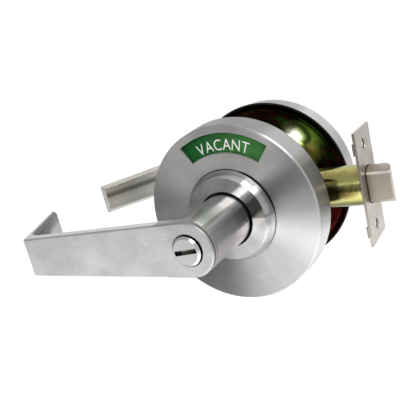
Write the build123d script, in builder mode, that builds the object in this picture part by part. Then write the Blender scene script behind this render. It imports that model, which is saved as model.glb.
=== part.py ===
from build123d import *

import os
from math import asin, atan2, cos, degrees, hypot, radians, sin, sqrt

# Privacy lever handle with an indicator window, for a bored door. Millimetres.
# The origin is on the lever axis at mid thickness of the door. +X runs to the door
# edge and the latch, -Y is the outside of the door with the window, +Y is the
# inside, +Z is up. A name that ends in _depth is a distance from the middle of the
# door, the same on either side.

# Door
door_thickness = 35.0
backset = 60.0
half_door = door_thickness / 2

# Fits
running_fit = 0.05
seat_gap = 0.1
free_gap = 0.3

# Lever
lever_length = 123.0
lever_projection = 56.5
grip_length = 95.5
grip_thickness = 7.0
return_depth = 23.5
return_root = 5.0
return_tip = 2.8
tip_half_height = 9.15
neck_radius = 12.75
neck_bore_length = 30.3
inner_bend = 8.0
outer_bend = 2.0
face_chamfer = 0.7
back_chamfer = 2.0
lever_turn = 50.0

# Roses
rose_radius = 45.0
rose_taper = 0.8
rose_height = 13.5
rose_rim = 0.9
rose_draft = 0.9
rose_wall = 1.6
rose_edge = 0.7
hub_base_radius = 22.9
hub_front_radius = 20.4
hub_height = 5.9
neck_hole_radius = 13.75

# Indicator
window_turn = -5.6
window_half_angle = 34.3
window_height = 9.7
window_margin = 2.7
lens_thickness = 0.85
lens_rim = 1.0
disc_thickness = 0.9
disc_rim = 1.2
disc_hub_radius = 13.0
foil_thickness = 0.2
foil_half_angle = 40.0
lock_turn = 90.0

# Coin turn, turn button and the bar between them
turn_radius = 6.9
turn_recess_radius = 7.4
turn_recess_length = 5.2
turn_stem_radius = 4.5
turn_chamfer = 1.0
turn_proud = 0.8
coin_slot_length = 10.9
coin_slot_width = 2.2
coin_slot_cut = 2.6
coin_slot_tilt = 5.5
button_wing_length = 12.5
button_wing_thickness = 3.4
button_wing_height = 7.5
bar_radius = 2.5
blade_width = 4.8
blade_thickness = 2.0
blade_length = 6.0
driver_pin_radius = 0.8
driver_pin_reach = 11.2
clip_thickness = 1.0
clip_length = 13.2
clip_width = 9.4

# Spindles and hubs
spindle_radius = 8.5
spindle_wall = 1.6
hub_sleeve_radius = 11.0
hub_plate_thickness = 2.0
catch_depth = 40.0
catch_pin_radius = 0.9
catch_pin_reach = 10.2
catch_leaf_thickness = 0.8
catch_leaf_width = 4.0
catch_leaf_length = 12.0
catch_leaf_offset = 4.6

# Cams
cam_share = 0.5932
cam_thickness = 4.0
cam_width = 6.5

# Chassis
chassis_radius = 25.0
chassis_wall = 1.4
frame_half_thickness = 3.85
frame_web = 2.53
slider_inset = 11.6
slider_right_inset = 3.1
slider_corner = 3.0
slider_slot_half = 4.3
lug_width = 3.3
lug_overlap = 2.0
lug_beyond_cam = 2.2
lug_gap = 0.15
bolt_inset = 2.3
bolt_radius = 2.0
bolt_head_radius = 3.4
bolt_head_height = 2.2
bolt_slot_width = 1.0
boss_radius = 3.3
boss_height = 4.0

# Springs and the drivers of the return springs
retractor_wire = 0.7
retractor_coil = 1.5
retractor_spring_inset = 4.7
retractor_spring_turns = 8
return_wire = 0.9
return_coil = 14.0
return_leg = 17.0
outside_return_turns = 4
inside_return_turns = 2
driver_thickness = 0.9
driver_half_width = 12.0
driver_corner = 5.0
driver_tab_width = 3.0
driver_tab_radius = 15.2
driver_tab_drop = 2.5
latch_wire = 0.9
latch_coil = 5.6
latch_spring_turns = 4

# Mounting plates
plate_wall = 1.5
plate_gap = 1.6
plate_flank = 11.6
plate_dish = 3.0
outside_plate_half = 30.0
outside_plate_corner = 14.0
tab_angles = (15.0, 135.0, 255.0)
tab_width = 9.0
tab_thickness = 1.5

# Latch
tube_radius = 9.9
tube_wall = 0.8
tube_inset = 1.0
tube_end_thickness = 1.6
faceplate_height = 54.4
faceplate_width = 25.4
faceplate_thickness = 1.2
clip_tab_length = 5.6
clip_tab_depth = 0.6
clip_tab_thickness = 0.8
clip_tab_proud = 0.4
screw_spacing = 39.6
screw_hole_radius = 2.3
screw_head_radius = 3.1
faceplate_gap = 0.25
latchbolt_throw = 11.0
latchbolt_flat = 6.2
latchbolt_nose = 4.0
latchbolt_length = 28.0
bevel_start = 1.5
tail_thickness = 1.5
tail_half_height = 2.2
tail_head_half_height = 4.0
tail_head_length = 1.8
tail_seat = 4.0
jaw_length = 2.3

# Depths that follow from the sizes above
rose_face_depth = half_door + rose_height
rose_inner_depth = rose_face_depth - rose_wall
hub_face_depth = rose_face_depth + hub_height
lever_face_depth = half_door + lever_projection
grip_back_depth = lever_face_depth - grip_thickness
chassis_depth = half_door - free_gap
foil_depth = rose_inner_depth - lens_thickness - free_gap - foil_thickness
disc_depth = foil_depth - disc_thickness
pin_depth = disc_depth + disc_thickness / 2
neck_depth = pin_depth + driver_pin_radius + free_gap
driver_depth = pin_depth - driver_pin_radius - 2 * seat_gap - driver_thickness
sleeve_depth = driver_depth - seat_gap
cam_depth = frame_half_thickness + 2 * free_gap
neck_bore_depth = neck_depth + neck_bore_length
clip_depth = neck_bore_depth - clip_thickness - seat_gap
spindle_end_depth = clip_depth - 2
blade_end_depth = spindle_end_depth + blade_length
recess_depth = lever_face_depth - turn_recess_length
outside_plate_depth = half_door + plate_wall
inside_plate_depth = half_door + plate_dish + plate_wall

# Radii that follow from the sizes above
rose_inner_radius = rose_radius - rose_rim
rose_hollow_radius = rose_inner_radius - rose_draft
window_outer = rose_hollow_radius - window_margin
window_inner = window_outer - window_height
plate_radius = rose_hollow_radius - plate_gap
plate_flat_radius = plate_radius - plate_flank
spindle_bore = spindle_radius + running_fit
spindle_inner = spindle_radius - spindle_wall
chassis_inner = chassis_radius - chassis_wall
tube_inner = tube_radius - tube_wall
latchbolt_radius = tube_inner - running_fit
bolt_offset = chassis_inner - bolt_inset
bolt_places = ((0, bolt_offset), (0, -bolt_offset))

# Sizes of the mechanism that follow from the drum it fits in. The base circle of
# the cams is the latch travel per radian of lever turn.
hub_plate_side = sqrt(2) * (chassis_inner - seat_gap)
cam_base = cam_share * chassis_inner
latch_travel = cam_base * radians(lever_turn)
slide_end = frame_web + running_fit - chassis_inner
slider_half_height = chassis_inner - slider_inset
slider_left = -slide_end - latch_travel - free_gap
slider_right = chassis_inner - slider_right_inset
lug_root = slider_half_height - lug_overlap
lug_reach = cam_base + lug_beyond_cam
retractor_spring_height = slider_half_height - retractor_spring_inset
tube_inner_end = chassis_inner - tube_inset

# The plane on which local x is X and local y is the depth outside the door
PLAN = Plane(origin=(0, 0, 0), x_dir=(1, 0, 0), z_dir=(0, 0, -1))

# Front view, with local x along X and local y along Z, facing the outside
FRONT = Plane.XZ


def polar(radius, angle):
    return (radius * cos(radians(angle)), radius * sin(radians(angle)))


def sector(inner, outer, middle, half_angle):
    """A ring segment about the origin."""
    start, end = middle - half_angle, middle + half_angle
    with BuildSketch() as shape:
        with BuildLine():
            CenterArc((0, 0), outer, start, end - start)
            CenterArc((0, 0), inner, start, end - start)
            Line(polar(inner, start), polar(outer, start))
            Line(polar(inner, end), polar(outer, end))
        make_face()
    return shape.sketch


def turned(*points):
    """A solid turned about the lever axis, from (radius, depth) points."""
    with BuildPart() as body:
        with BuildSketch(PLAN):
            with BuildLine():
                Polyline(*points, close=True)
            make_face()
        revolve(axis=Axis.Y)
    return body.part


def coil_points(radius, length, turns, per_turn):
    """Points of a helix about local z, from 0 to length."""
    count = turns * per_turn
    return [(*polar(radius, 360 * i / per_turn), length * i / count) for i in range(count + 1)]


def wire(points, size, sides=6):
    """A wire with flat sides that follows the points."""
    with BuildPart() as body:
        with BuildLine() as path:
            Polyline(*points)
        with BuildSketch(Plane(origin=path.line @ 0, z_dir=path.line % 0)):
            RegularPolygon(size / 2, sides)
        sweep(transition=Transition.RIGHT)
    return body.part


def inside_twin(outside):
    """The same piece on the inside of the door."""
    with BuildPart() as inside:
        mirror(outside, about=Plane.XZ)
    return inside.part


def save(name, part):
    part.label = name
    export_step(part, f"parts/{name}.step")


def save_pair(name, outside):
    save(f"outside_{name}", outside)
    save(f"inside_{name}", inside_twin(outside))


os.makedirs("parts", exist_ok=True)

# Lever: a flat tapered grip with a bent back end, a round head and a round neck
bend_run = lever_length - grip_length
bend_drop = lever_face_depth - return_depth
bend_size = hypot(bend_run, bend_drop)
inward = (bend_drop / bend_size, -bend_run / bend_size)
tip_outer = (-lever_length, return_depth)
tip_inner = (tip_outer[0] + return_tip / inward[0], return_depth)
root_inner = (-grip_length + return_root * inward[0], lever_face_depth + return_root * inward[1])
back_slope = (root_inner[0] - tip_inner[0]) / (root_inner[1] - tip_inner[1])
inner_corner = (tip_inner[0] + back_slope * (grip_back_depth - tip_inner[1]), grip_back_depth)
outer_corner = (-grip_length, lever_face_depth)
taper = asin(neck_radius / hypot(lever_length, tip_half_height)) - atan2(tip_half_height, lever_length)
head_tangent = (-neck_radius * sin(taper), neck_radius * cos(taper))
past_head = neck_radius + 1

with BuildPart() as lever:
    # plan view: grip and return
    with BuildSketch(PLAN):
        with BuildLine():
            Polyline(
                (past_head, lever_face_depth),
                outer_corner,
                tip_outer,
                tip_inner,
                inner_corner,
                (past_head, grip_back_depth),
                close=True,
            )
        make_face()
    extrude(amount=past_head, both=True)
    upright = lever.edges().filter_by(Axis.Z)
    fillet(upright.sort_by_distance((inner_corner[0], -inner_corner[1], 0))[0], inner_bend)
    fillet(upright.sort_by_distance((outer_corner[0], -outer_corner[1], 0))[0], outer_bend)
    # front view: round head, tapering to the tip
    with BuildSketch(FRONT):
        Circle(neck_radius)
        with BuildLine():
            Polyline(
                head_tangent,
                (-lever_length - 1, tip_half_height),
                (-lever_length - 1, -tip_half_height),
                (head_tangent[0], -head_tangent[1]),
                close=True,
            )
        make_face()
    extrude(amount=lever_face_depth + 1, mode=Mode.INTERSECT)
    back_face = lever.faces().sort_by_distance((inner_corner[0] / 2, -grip_back_depth, 0))[0]
    chamfer([e for e in back_face.edges() if e.length > grip_length / 2], back_chamfer)
    front_face = lever.faces().sort_by(Axis.Y)[0]
    chamfer([e for e in front_face.edges() if e.center().X > -grip_length + outer_bend], face_chamfer)
    # neck, with the bore for the spindle and the seat of the coin turn
    with BuildSketch(FRONT.offset(neck_depth)):
        Circle(neck_radius)
    extrude(amount=grip_back_depth + grip_thickness / 2 - neck_depth)
    with BuildSketch(FRONT.offset(neck_depth)):
        Circle(spindle_bore)
    extrude(amount=neck_bore_length, mode=Mode.SUBTRACT)
    with BuildSketch(FRONT.offset(neck_bore_depth)):
        Circle(turn_stem_radius + running_fit)
    extrude(amount=lever_projection, mode=Mode.SUBTRACT)
    with BuildSketch(FRONT.offset(recess_depth)):
        Circle(turn_recess_radius)
    extrude(amount=lever_projection, mode=Mode.SUBTRACT)
    # release hole of the catch
    with BuildSketch(Plane.YZ):
        with Locations((-catch_depth, 0)):
            Circle(catch_pin_radius + running_fit)
    extrude(amount=past_head, mode=Mode.SUBTRACT)
save_pair("lever", lever.part)

# Lever catch: a leaf spring inside the spindle, with the pin that holds the lever on
leaf_outer = catch_leaf_offset + catch_leaf_thickness
with BuildPart() as catch:
    with BuildSketch(Plane.YZ.offset(catch_leaf_offset)):
        with Locations((-catch_depth, 0)):
            Rectangle(catch_leaf_length, catch_leaf_width)
    extrude(amount=catch_leaf_thickness)
    with BuildSketch(Plane.YZ.offset(leaf_outer)):
        with Locations((-catch_depth, 0)):
            Circle(catch_pin_radius)
    extrude(amount=catch_pin_reach - leaf_outer)
save_pair("lever_catch", catch.part)

# Coin turn: the slotted head in the outside lever
stem_end_depth = spindle_end_depth + seat_gap
turn_floor_depth = recess_depth + seat_gap
turn_face_depth = lever_face_depth + turn_proud + turn_chamfer
turn_body = turned(
    (0, stem_end_depth),
    (turn_stem_radius, stem_end_depth),
    (turn_stem_radius, turn_floor_depth),
    (turn_radius, turn_floor_depth),
    (turn_radius, turn_face_depth - turn_chamfer),
    (turn_radius - turn_chamfer, turn_face_depth),
    (0, turn_face_depth),
)

with BuildPart() as coin_turn:
    add(turn_body)
    with BuildSketch(FRONT.offset(turn_face_depth - coin_slot_cut)):
        Rectangle(coin_slot_length, coin_slot_width, rotation=coin_slot_tilt)
    extrude(amount=coin_slot_cut, mode=Mode.SUBTRACT)
    with BuildSketch(FRONT.offset(spindle_end_depth)):
        Rectangle(blade_thickness + 2 * running_fit, blade_width + 2 * running_fit)
    extrude(amount=blade_length + seat_gap, mode=Mode.SUBTRACT)
save("coin_turn", coin_turn.part)

# Turn button: the thumb piece in the inside lever
with BuildPart() as turn_button:
    add(turn_body)
    with BuildSketch(FRONT.offset(turn_face_depth)):
        SlotOverall(button_wing_length, button_wing_thickness, rotation=coin_slot_tilt)
    extrude(amount=button_wing_height)
    with BuildSketch(FRONT.offset(spindle_end_depth)):
        Rectangle(blade_thickness + 2 * running_fit, blade_width + 2 * running_fit)
    extrude(amount=blade_length + seat_gap, mode=Mode.SUBTRACT)
save("turn_button", inside_twin(turn_button.part))

# Clips that keep the two turns in their levers
with BuildPart() as turn_clips:
    for depth in (clip_depth, -clip_depth - clip_thickness):
        with BuildSketch(FRONT.offset(depth)):
            Rectangle(clip_length, clip_width)
            Circle(turn_stem_radius, mode=Mode.SUBTRACT)
        extrude(amount=clip_thickness)
save("turn_clips", turn_clips.part)

# Lock bar: a rod between the two turns, with a blade at each end
with BuildPart() as lock_bar:
    with BuildSketch(FRONT):
        Circle(bar_radius)
    extrude(amount=spindle_end_depth, both=True)
    with BuildSketch(FRONT):
        Rectangle(blade_thickness, blade_width)
    extrude(amount=blade_end_depth, both=True)
    with BuildSketch(Plane.XY):
        with Locations((0, -pin_depth)):
            Circle(driver_pin_radius)
    extrude(amount=-bar_radius - 1, mode=Mode.SUBTRACT)
save("lock_bar", lock_bar.part)

# Driver pin: turns the indicator disc with the lock bar
with BuildPart() as driver_pin:
    with BuildSketch(Plane.XY):
        with Locations((0, -pin_depth)):
            Circle(driver_pin_radius)
    extrude(amount=-driver_pin_reach)
save("indicator_driver_pin", driver_pin.part)

# Roses: a turned cover with a raised hub, the outside one with its window
rim_radius = rose_radius - rose_taper
rose_body = turned(
    (rose_radius, half_door),
    (rim_radius, rose_face_depth - rose_edge),
    (rim_radius - rose_edge, rose_face_depth),
    (hub_base_radius, rose_face_depth),
    (hub_front_radius, hub_face_depth),
    (neck_hole_radius, hub_face_depth),
    (neck_hole_radius, rose_inner_depth),
    (rose_hollow_radius, rose_inner_depth),
    (rose_inner_radius, half_door),
)
window_middle = 90 + window_turn

with BuildPart() as outside_rose:
    add(rose_body)
    with BuildSketch(FRONT.offset(rose_inner_depth)):
        add(sector(window_inner, window_outer, window_middle, window_half_angle))
    extrude(amount=rose_wall, mode=Mode.SUBTRACT)
save("outside_rose", outside_rose.part)
save("inside_rose", inside_twin(rose_body))

# Window lens, seated behind the window
lens_half_angle = window_half_angle + degrees(lens_rim / window_outer)
with BuildPart() as window_lens:
    with BuildSketch(FRONT.offset(rose_inner_depth - lens_thickness)):
        add(sector(window_inner - lens_rim, window_outer + lens_rim, window_middle, lens_half_angle))
    extrude(amount=lens_thickness)
save("window_lens", window_lens.part)

# Indicator disc: a fan that the driver pin turns, with its green and red foils
fan_middle = window_middle - lock_turn / 2
fan_half_angle = lock_turn / 2 + foil_half_angle + 1
notch_start = spindle_radius - 1
notch_length = driver_pin_reach + running_fit - notch_start
with BuildPart() as indicator_disc:
    with BuildSketch(FRONT.offset(disc_depth)):
        Circle(disc_hub_radius)
        add(sector(spindle_bore + 1, window_outer + disc_rim, fan_middle, fan_half_angle))
        Circle(spindle_bore, mode=Mode.SUBTRACT)
        with Locations((0, -notch_start - notch_length / 2)):
            Rectangle(2 * (driver_pin_radius + running_fit), notch_length, mode=Mode.SUBTRACT)
    extrude(amount=disc_thickness)
save("indicator_disc", indicator_disc.part)

for name, middle in (("vacant_foil", window_middle), ("occupied_foil", window_middle - lock_turn)):
    with BuildPart() as foil:
        with BuildSketch(FRONT.offset(foil_depth)):
            add(sector(window_inner - lens_rim, window_outer + lens_rim, middle, foil_half_angle))
        extrude(amount=foil_thickness)
    save(name, foil.part)

# Spindles: a tube with a rollback cam of two involute ears at its inner end
cam_roll = 1.02 * radians(lever_turn)


def involute(roll):
    """A point of the cam face, which moves a slide evenly with the angle."""
    return (cam_base * (sin(roll) - roll * cos(roll)), cam_base * (cos(roll) + roll * sin(roll)))


ear_tip = involute(cam_roll)
ear_shoulder = (cam_width, sqrt(hypot(*ear_tip) ** 2 - cam_width**2))
pin_clearance = driver_pin_radius + running_fit
pin_half_angle = degrees(asin(pin_clearance / spindle_inner)) + 1
pin_slot_middle = -90 + (lock_turn - lever_turn) / 2
pin_slot_half_angle = (lock_turn + lever_turn) / 2 + pin_half_angle
with BuildPart() as spindle:
    with BuildSketch(FRONT.offset(cam_depth)):
        Circle(spindle_radius)
        Circle(spindle_inner, mode=Mode.SUBTRACT)
    extrude(amount=spindle_end_depth - cam_depth)
    with BuildSketch(FRONT.offset(cam_depth)):
        with BuildLine():
            Spline(
                *(involute(cam_roll * step / 4) for step in range(5)),
                tangents=((0, 1), (sin(cam_roll), cos(cam_roll))),
            )
            Polyline(ear_tip, ear_shoulder, (cam_width, 0), (0, 0), (0, cam_base))
        make_face()
        mirror(about=Plane.XZ)
        Circle(spindle_radius - spindle_wall / 2, mode=Mode.SUBTRACT)
    extrude(amount=cam_thickness)
    with BuildSketch(Plane.YZ):
        with Locations((-catch_depth, 0)):
            Circle(catch_pin_radius + running_fit)
    extrude(amount=spindle_radius + 1, mode=Mode.SUBTRACT)
save("inside_spindle", inside_twin(spindle.part))

# The outside spindle also has the slot that the driver pin swings in
with BuildPart() as outside_spindle:
    add(spindle.part)
    with BuildSketch(FRONT.offset(pin_depth - pin_clearance)):
        add(sector(spindle_inner - 1, spindle_radius + 1, pin_slot_middle, pin_slot_half_angle))
    extrude(amount=2 * pin_clearance, mode=Mode.SUBTRACT)
save("outside_spindle", outside_spindle.part)

# Hubs: the ends of the chassis, each with the sleeve that a spindle turns in
with BuildPart() as hub:
    with BuildSketch(FRONT.offset(chassis_depth - hub_plate_thickness)):
        Rectangle(hub_plate_side, hub_plate_side)
    extrude(amount=hub_plate_thickness)
    with BuildSketch(FRONT.offset(chassis_depth)):
        Circle(hub_sleeve_radius)
    extrude(amount=sleeve_depth - chassis_depth)
    with BuildSketch(FRONT):
        Circle(spindle_bore)
    extrude(amount=lever_face_depth, mode=Mode.SUBTRACT)
save_pair("hub", hub.part)

# Chassis housing: the drum in the door, open to the latch
with BuildPart() as chassis_housing:
    with BuildSketch(FRONT):
        Circle(chassis_radius)
        Circle(chassis_inner, mode=Mode.SUBTRACT)
    extrude(amount=chassis_depth, both=True)
    with BuildSketch(Plane.YZ):
        Circle(tube_radius + seat_gap)
    extrude(amount=chassis_radius + 1, mode=Mode.SUBTRACT)
save("chassis_housing", chassis_housing.part)

# Retractor frame: the C-shaped guide that the retractor slides in
slide_top = slider_half_height + running_fit
lug_path = latch_travel + lug_width + lug_gap + 2 * free_gap
with BuildPart() as retractor_frame:
    with BuildSketch(FRONT):
        Circle(chassis_inner - running_fit)
        with BuildLine():
            Polyline(
                (chassis_radius, -slide_top),
                (chassis_radius, slide_top),
                (slide_end + slider_corner, slide_top),
                (slide_end, slide_top - slider_corner),
                (slide_end, slider_corner - slide_top),
                (slide_end + slider_corner, -slide_top),
                close=True,
            )
        make_face(mode=Mode.SUBTRACT)
        with Locations((free_gap - lug_path / 2, 0)):
            Rectangle(lug_path, 2 * (lug_reach + free_gap), mode=Mode.SUBTRACT)
        with Locations(*bolt_places):
            Rectangle(2 * (bolt_radius + seat_gap), 3 * bolt_radius, mode=Mode.SUBTRACT)
    extrude(amount=frame_half_thickness, both=True)
save("retractor_frame", retractor_frame.part)

# Retractor: the slide that the cams push, with the jaws that pull the latch
slot_left = -bar_radius - 1
slot_right = slider_right - jaw_length
pocket_end = slider_left - 0.5
with BuildPart() as retractor:
    with BuildSketch(FRONT):
        with Locations(((slider_right - slider_left) / 2, 0)):
            Rectangle(slider_left + slider_right, 2 * slider_half_height)
        with Locations(((slot_left + slot_right) / 2, 0)):
            Rectangle(slot_right - slot_left, 2 * slider_slot_half, mode=Mode.SUBTRACT)
        with Locations((slider_right, 0)):
            Rectangle(2 * jaw_length + 1, 2 * (tail_half_height + free_gap), mode=Mode.SUBTRACT)
    extrude(amount=frame_half_thickness, both=True)
    outline = [e for e in retractor.edges().filter_by(Axis.Y) if abs(e.center().Z) > slider_half_height - 1]
    chamfer(outline, slider_corner)
    with BuildSketch(FRONT.offset(-frame_half_thickness)):
        with Locations((-lug_gap - lug_width / 2, 0)):
            Rectangle(lug_width, 2 * lug_reach)
            Rectangle(lug_width, 2 * lug_root, mode=Mode.SUBTRACT)
    extrude(amount=frame_half_thickness + cam_depth + cam_thickness - running_fit)
    with BuildSketch(Plane.YZ.offset(-slider_left)):
        with Locations((0, retractor_spring_height), (0, -retractor_spring_height)):
            Circle(retractor_coil + retractor_wire / 2 + seat_gap)
    extrude(amount=slider_left + pocket_end, mode=Mode.SUBTRACT)
save("retractor", retractor.part)

# Retractor springs, between the frame and the pockets of the retractor
retractor_spring_start = slide_end + retractor_wire / 2 + seat_gap
retractor_spring_length = pocket_end - slide_end - retractor_wire - 2 * seat_gap
retractor_spring = wire(
    coil_points(retractor_coil, retractor_spring_length, retractor_spring_turns, 6), retractor_wire, sides=4
)
with BuildPart() as retractor_springs:
    for height in (retractor_spring_height, -retractor_spring_height):
        add(Plane(origin=(retractor_spring_start, 0, height), z_dir=(1, 0, 0)) * retractor_spring)
save("retractor_springs", retractor_springs.part)

# Outside mounting plate: flat on the door, with arms for the rose and threaded bosses
arm_length = rose_inner_radius - free_gap
with BuildPart() as outside_plate:
    with BuildSketch(FRONT.offset(half_door)):
        outline = Rectangle(2 * outside_plate_half, 2 * outside_plate_half)
        chamfer(outline.vertices(), outside_plate_corner)
        for angle in tab_angles:
            with Locations(polar(arm_length / 2, angle)):
                Rectangle(arm_length, tab_width, rotation=angle)
        Circle(hub_sleeve_radius + running_fit, mode=Mode.SUBTRACT)
        Circle(arm_length, mode=Mode.INTERSECT)
    extrude(amount=plate_wall)
    with BuildSketch(FRONT.offset(outside_plate_depth)):
        with Locations(*bolt_places):
            Circle(boss_radius)
    extrude(amount=boss_height)
    with BuildSketch(FRONT):
        with Locations(*bolt_places):
            Circle(bolt_radius + running_fit)
    extrude(amount=rose_face_depth, mode=Mode.SUBTRACT)
save("outside_mounting_plate", outside_plate.part)

# Inside mounting plate: a cast disc, hollow towards the door, with tabs for the rose
with BuildPart() as inside_plate:
    add(turned(
        (hub_sleeve_radius + running_fit, inside_plate_depth - plate_wall),
        (plate_flat_radius, inside_plate_depth - plate_wall),
        (plate_radius - plate_wall, half_door),
        (plate_radius, half_door),
        (plate_radius, inside_plate_depth),
        (hub_sleeve_radius + running_fit, inside_plate_depth),
    ))
    with BuildSketch(FRONT.offset(half_door)):
        for angle in tab_angles:
            with Locations(polar(plate_radius, angle)):
                Rectangle(2 * (arm_length - plate_radius), tab_width, rotation=angle)
        Circle(arm_length, mode=Mode.INTERSECT)
    extrude(amount=tab_thickness)
    with BuildSketch(FRONT):
        with Locations(*bolt_places):
            Circle(bolt_radius + running_fit)
    extrude(amount=rose_face_depth, mode=Mode.SUBTRACT)
save("inside_mounting_plate", inside_twin(inside_plate.part))

# Through bolts, from the inside plate to the bosses of the outside one
with BuildPart() as through_bolts:
    with BuildSketch(FRONT.offset(-inside_plate_depth - bolt_head_height)):
        with Locations(*bolt_places):
            RegularPolygon(bolt_head_radius, 6)
    extrude(amount=bolt_head_height)
    with BuildSketch(FRONT.offset(-inside_plate_depth)):
        with Locations(*bolt_places):
            Circle(bolt_radius)
    extrude(amount=inside_plate_depth + outside_plate_depth + boss_height)
    with BuildSketch(FRONT.offset(-inside_plate_depth - bolt_head_height)):
        with Locations(*bolt_places):
            Rectangle(2 * bolt_head_radius, bolt_slot_width)
    extrude(amount=bolt_head_height / 2, mode=Mode.SUBTRACT)
save("through_bolts", through_bolts.part)


def return_spring(seat_depth, turns):
    """A torsion spring between a plate and the driver, with a leg at each end."""
    length = driver_depth - seat_depth - return_wire - seat_gap
    coil = coil_points(return_coil, length, turns, 10)
    points = [(return_leg, 0, 0), *coil, (return_leg, 0, length)]
    start = seat_depth + (return_wire + seat_gap) / 2
    with BuildPart() as spring:
        add(FRONT.offset(start) * wire(points, return_wire))
    return spring.part


# Return springs, and the drivers on the spindles that wind them
save("outside_return_spring", return_spring(outside_plate_depth, outside_return_turns))
save("inside_return_spring", inside_twin(return_spring(inside_plate_depth, inside_return_turns)))

tab_middle = (return_wire + driver_tab_width) / 2 + free_gap
tab_radius_end = return_leg + 0.2
with BuildPart() as spring_driver:
    with BuildSketch(FRONT.offset(driver_depth)):
        square = Rectangle(2 * driver_half_width, 2 * driver_half_width)
        chamfer(square.vertices(), driver_corner)
        with Locations((tab_radius_end / 2, tab_middle)):
            Rectangle(tab_radius_end, driver_tab_width)
        Circle(spindle_radius, mode=Mode.SUBTRACT)
    extrude(amount=driver_thickness)
    with BuildSketch(FRONT.offset(driver_depth - driver_tab_drop)):
        with Locations(((driver_tab_radius + tab_radius_end) / 2, tab_middle)):
            Rectangle(tab_radius_end - driver_tab_radius, driver_tab_width)
    extrude(amount=driver_tab_drop)
save_pair("spring_driver", spring_driver.part)

# Latch tube, from the chassis to the door edge, with a slot for the tail in its end
faceplate_back = backset - faceplate_thickness
with BuildPart() as latch_tube:
    with BuildSketch(Plane.YZ.offset(tube_inner_end)):
        Circle(tube_radius)
    extrude(amount=faceplate_back - tube_inner_end)
    with BuildSketch(Plane.YZ.offset(tube_inner_end + tube_end_thickness)):
        Circle(tube_inner)
    extrude(amount=backset, mode=Mode.SUBTRACT)
    with BuildSketch(Plane.YZ):
        Rectangle(tail_thickness + 2 * seat_gap, 2 * (tail_half_height + seat_gap))
    extrude(amount=backset, mode=Mode.SUBTRACT)
save("latch_tube", latch_tube.part)


def latchbolt_section(grow):
    """The round latchbolt with its flat front, made larger all round by grow."""
    with BuildSketch() as shape:
        Circle(latchbolt_radius + grow)
        with Locations((-latchbolt_flat - grow - latchbolt_radius, 0)):
            Rectangle(2 * latchbolt_radius, 4 * latchbolt_radius, mode=Mode.SUBTRACT)
    return shape.sketch


# Faceplate, with countersunk holes and four small tabs bent back at its edges
screw_places = ((0, screw_spacing / 2), (0, -screw_spacing / 2))
with BuildPart() as latch_faceplate:
    with BuildSketch(Plane.YZ.offset(faceplate_back)):
        Rectangle(faceplate_width, faceplate_height)
        add(latchbolt_section(faceplate_gap), mode=Mode.SUBTRACT)
    extrude(amount=faceplate_thickness)
    with Locations(Plane.YZ.offset(backset)):
        with Locations(*screw_places):
            CounterSinkHole(screw_hole_radius, screw_head_radius)
    with BuildSketch(Plane.YZ.offset(faceplate_back - clip_tab_depth)):
        with Locations(*screw_places):
            Rectangle(faceplate_width + 2 * clip_tab_proud, clip_tab_length)
            Rectangle(
                faceplate_width + 2 * (clip_tab_proud - clip_tab_thickness), clip_tab_length, mode=Mode.SUBTRACT
            )
    extrude(amount=clip_tab_depth + faceplate_thickness / 2)
save("latch_faceplate", latch_faceplate.part)

# Latchbolt, flat in front and bevelled behind
latchbolt_tip = backset + latchbolt_throw
latchbolt_back = latchbolt_tip - latchbolt_length
with BuildPart() as latchbolt:
    with BuildSketch(Plane.YZ.offset(latchbolt_back)):
        add(latchbolt_section(0))
    extrude(amount=latchbolt_length)
    with BuildSketch(Plane.XY):
        with BuildLine():
            Polyline(
                (latchbolt_tip + 1, latchbolt_nose - latchbolt_flat),
                (latchbolt_tip, latchbolt_nose - latchbolt_flat),
                (backset + bevel_start, tube_inner),
                (latchbolt_tip + 1, tube_inner),
                close=True,
            )
        make_face()
    extrude(amount=2 * tube_radius, both=True, mode=Mode.SUBTRACT)
    with BuildSketch(Plane.YZ.offset(latchbolt_back)):
        Rectangle(tail_thickness + 2 * running_fit, 2 * (tail_half_height + running_fit))
    extrude(amount=tail_seat + seat_gap, mode=Mode.SUBTRACT)
save("latchbolt", latchbolt.part)

# Latch tail: the strip that the retractor's jaws pull
tail_left = slot_right - seat_gap - tail_head_length
tail_right = latchbolt_back + tail_seat
with BuildPart() as latch_tail:
    with BuildSketch(FRONT):
        with Locations((tail_left + tail_head_length / 2, 0)):
            Rectangle(tail_head_length, 2 * tail_head_half_height)
        with Locations(((tail_left + tail_right) / 2, 0)):
            Rectangle(tail_right - tail_left, 2 * tail_half_height)
    extrude(amount=tail_thickness / 2, both=True)
save("latch_tail", latch_tail.part)

# Latch spring, between the end of the tube and the latchbolt
latch_spring_start = tube_inner_end + tube_end_thickness + latch_wire / 2 + seat_gap
latch_spring_length = latchbolt_back - latch_spring_start - latch_wire / 2 - seat_gap
with BuildPart() as latch_spring:
    coil = wire(coil_points(latch_coil, latch_spring_length, latch_spring_turns, 8), latch_wire)
    add(Plane(origin=(latch_spring_start, 0, 0), z_dir=(1, 0, 0)) * coil)
save("latch_spring", latch_spring.part)
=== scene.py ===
from math import cos, pi, radians, sin

import bpy
from mathutils import Matrix, Vector


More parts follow.
